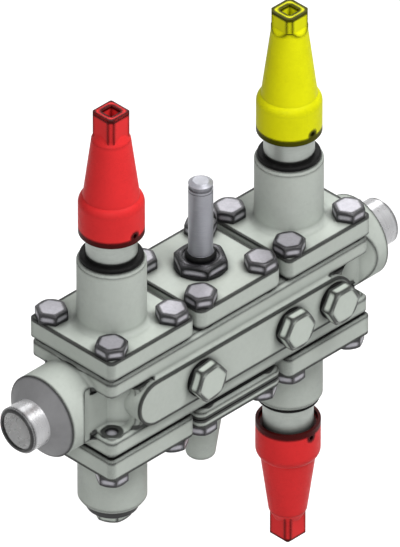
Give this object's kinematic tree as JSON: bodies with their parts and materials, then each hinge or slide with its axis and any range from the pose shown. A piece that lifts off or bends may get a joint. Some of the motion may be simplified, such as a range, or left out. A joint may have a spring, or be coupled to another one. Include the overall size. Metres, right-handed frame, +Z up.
{
  "type": "valve station",
  "caption": "Inline refrigerant valve station: cast housing with bolted stop, solenoid, regulating, check and strainer modules, capped spindles and weld ends.",
  "frame": {"origin": "centre of the inlet weld end's face", "axes": "+X along the line from inlet to outlet, +Z up, -Y the front face with the side plugs"},
  "size_m": [0.2776, 0.075, 0.3444],
  "materials": {
    "cast_body": "matt light grey-green coat on cast steel",
    "plug_metal": "matt light grey-green",
    "seal_black": "matt black",
    "gasket": "matt black fibre",
    "bolt_steel": "fine satin",
    "gland_metal": "fine satin",
    "packing_ring": "matt",
    "spindle_steel": "turned",
    "seat_plastic": "matt white",
    "cap_red": "satin red coat",
    "cap_yellow": "satin yellow coat",
    "tube_steel": "drawn, satin",
    "nut_dark": "blackened steel",
    "spring_steel": "drawn wire",
    "strainer_mesh": "woven mesh"
  },
  "bodies": {
    "station": {"armature_spring": "spring_steel", "armature_tube": "tube_steel", "check_cover": "cast_body", "check_cover_bolts": "bolt_steel", "check_cover_gasket": "gasket", "check_plate": "cast_body", "check_plate_gasket": "gasket", "check_spring": "spring_steel", "drain_plug": "plug_metal", "drain_plug_seal": "seal_black", "housing": "cast_body", "inlet_stop_cover": "cast_body", "inlet_stop_cover_bolts": "bolt_steel", "inlet_stop_cover_gasket": "gasket", "inlet_stop_gland": "gland_metal", "inlet_stop_gland_ring": "seal_black", "inlet_stop_packing": "packing_ring", "outlet_stop_cover": "cast_body", "outlet_stop_cover_bolts": "bolt_steel", "outlet_stop_cover_gasket": "gasket", "outlet_stop_gland": "gland_metal", "outlet_stop_gland_ring": "seal_black", "outlet_stop_packing": "packing_ring", "piston_spring": "spring_steel", "port_plug_washers": "seal_black", "port_plugs": "plug_metal", "regulating_cover": "cast_body", "regulating_cover_bolts": "bolt_steel", "regulating_cover_gasket": "gasket", "regulating_gland": "gland_metal", "regulating_gland_ring": "seal_black", "regulating_packing": "packing_ring", "solenoid_cover": "cast_body", "solenoid_cover_bolts": "bolt_steel", "solenoid_cover_gasket": "gasket", "strainer_cover": "cast_body", "strainer_cover_bolts": "bolt_steel", "strainer_cover_gasket": "gasket", "strainer_element": "strainer_mesh", "strainer_spring": "spring_steel", "tube_nut": "nut_dark", "tube_seal": "seal_black"},
    "inlet_stop_disc_body": {"inlet_stop_disc": "spindle_steel", "inlet_stop_seat_ring": "seat_plastic"},
    "inlet_stop_spindle_body": {"inlet_stop_spindle": "spindle_steel"},
    "inlet_stop_cap_seal_body": {"inlet_stop_cap_seal": "seat_plastic"},
    "inlet_stop_cap_body": {"inlet_stop_cap": "cap_red"},
    "regulating_disc_body": {"regulating_disc": "spindle_steel", "regulating_seat_ring": "seat_plastic"},
    "regulating_spindle_body": {"regulating_spindle": "spindle_steel"},
    "regulating_cap_seal_body": {"regulating_cap_seal": "seat_plastic"},
    "regulating_cap_body": {"regulating_cap": "cap_yellow"},
    "outlet_stop_disc_body": {"outlet_stop_disc": "spindle_steel", "outlet_stop_seat_ring": "seat_plastic"},
    "outlet_stop_spindle_body": {"outlet_stop_spindle": "spindle_steel"},
    "outlet_stop_cap_seal_body": {"outlet_stop_cap_seal": "seat_plastic"},
    "outlet_stop_cap_body": {"outlet_stop_cap": "cap_red"},
    "armature_body": {"armature": "spindle_steel"},
    "main_piston_body": {"main_piston": "spindle_steel"},
    "check_disc_body": {"check_disc": "spindle_steel"}
  },
  "joints": [
    {"name": "inlet_stop_lift", "type": "slide", "parent": "station", "child": "inlet_stop_disc_body", "axis": [0, 0, 1], "range_m": [0, 0.008]},
    {"name": "inlet_stop_spindle_turn", "type": "hinge", "parent": "inlet_stop_disc_body", "child": "inlet_stop_spindle_body", "pos_m": [0.0718, 0, 0.05], "axis": [0, 0, 1], "range_deg": [0, 1450]},
    {"name": "inlet_stop_cap_lift", "type": "slide", "parent": "station", "child": "inlet_stop_cap_seal_body", "axis": [0, 0, 1], "range_m": [0, 0.06]},
    {"name": "inlet_stop_cap_turn", "type": "hinge", "parent": "inlet_stop_cap_seal_body", "child": "inlet_stop_cap_body", "pos_m": [0.0718, 0, 0.12], "axis": [0, 0, 1], "continuous": true},
    {"name": "regulating_lift", "type": "slide", "parent": "station", "child": "regulating_disc_body", "axis": [0, 0, 1], "range_m": [0, 0.008]},
    {"name": "regulating_spindle_turn", "type": "hinge", "parent": "regulating_disc_body", "child": "regulating_spindle_body", "pos_m": [0.2058, 0, 0.05], "axis": [0, 0, 1], "range_deg": [0, 1450]},
    {"name": "regulating_cap_lift", "type": "slide", "parent": "station", "child": "regulating_cap_seal_body", "axis": [0, 0, 1], "range_m": [0, 0.06]},
    {"name": "regulating_cap_turn", "type": "hinge", "parent": "regulating_cap_seal_body", "child": "regulating_cap_body", "pos_m": [0.2058, 0, 0.12], "axis": [0, 0, 1], "continuous": true},
    {"name": "outlet_stop_lift", "type": "slide", "parent": "station", "child": "outlet_stop_disc_body", "axis": [0, 0, -1], "range_m": [0, 0.008]},
    {"name": "outlet_stop_spindle_turn", "type": "hinge", "parent": "outlet_stop_disc_body", "child": "outlet_stop_spindle_body", "pos_m": [0.2058, 0, -0.05], "axis": [0, 0, -1], "range_deg": [0, 1450]},
    {"name": "outlet_stop_cap_lift", "type": "slide", "parent": "station", "child": "outlet_stop_cap_seal_body", "axis": [0, 0, -1], "range_m": [0, 0.06]},
    {"name": "outlet_stop_cap_turn", "type": "hinge", "parent": "outlet_stop_cap_seal_body", "child": "outlet_stop_cap_body", "pos_m": [0.2058, 0, -0.12], "axis": [0, 0, -1], "continuous": true},
    {"name": "armature_slide", "type": "slide", "parent": "station", "child": "armature_body", "axis": [0, 0, 1], "range_m": [0, 0.003], "stiffness_N_per_m": 300, "springref_m": -0.004, "deforming": ["armature_spring"]},
    {"name": "main_piston_slide", "type": "slide", "parent": "station", "child": "main_piston_body", "axis": [0, 0, 1], "range_m": [0, 0.005], "stiffness_N_per_m": 300, "springref_m": -0.006, "deforming": ["piston_spring"]},
    {"name": "check_disc_slide", "type": "slide", "parent": "station", "child": "check_disc_body", "axis": [0, 0, -1], "range_m": [0, 0.006], "stiffness_N_per_m": 300, "springref_m": -0.01, "deforming": ["check_spring"]}
  ],
  "couplings": [
    {"joint": "inlet_stop_spindle_turn", "follows": "inlet_stop_lift", "rad_per_m": 3141.6},
    {"joint": "regulating_spindle_turn", "follows": "regulating_lift", "rad_per_m": 3141.6},
    {"joint": "outlet_stop_spindle_turn", "follows": "outlet_stop_lift", "rad_per_m": 3141.6}
  ]
}
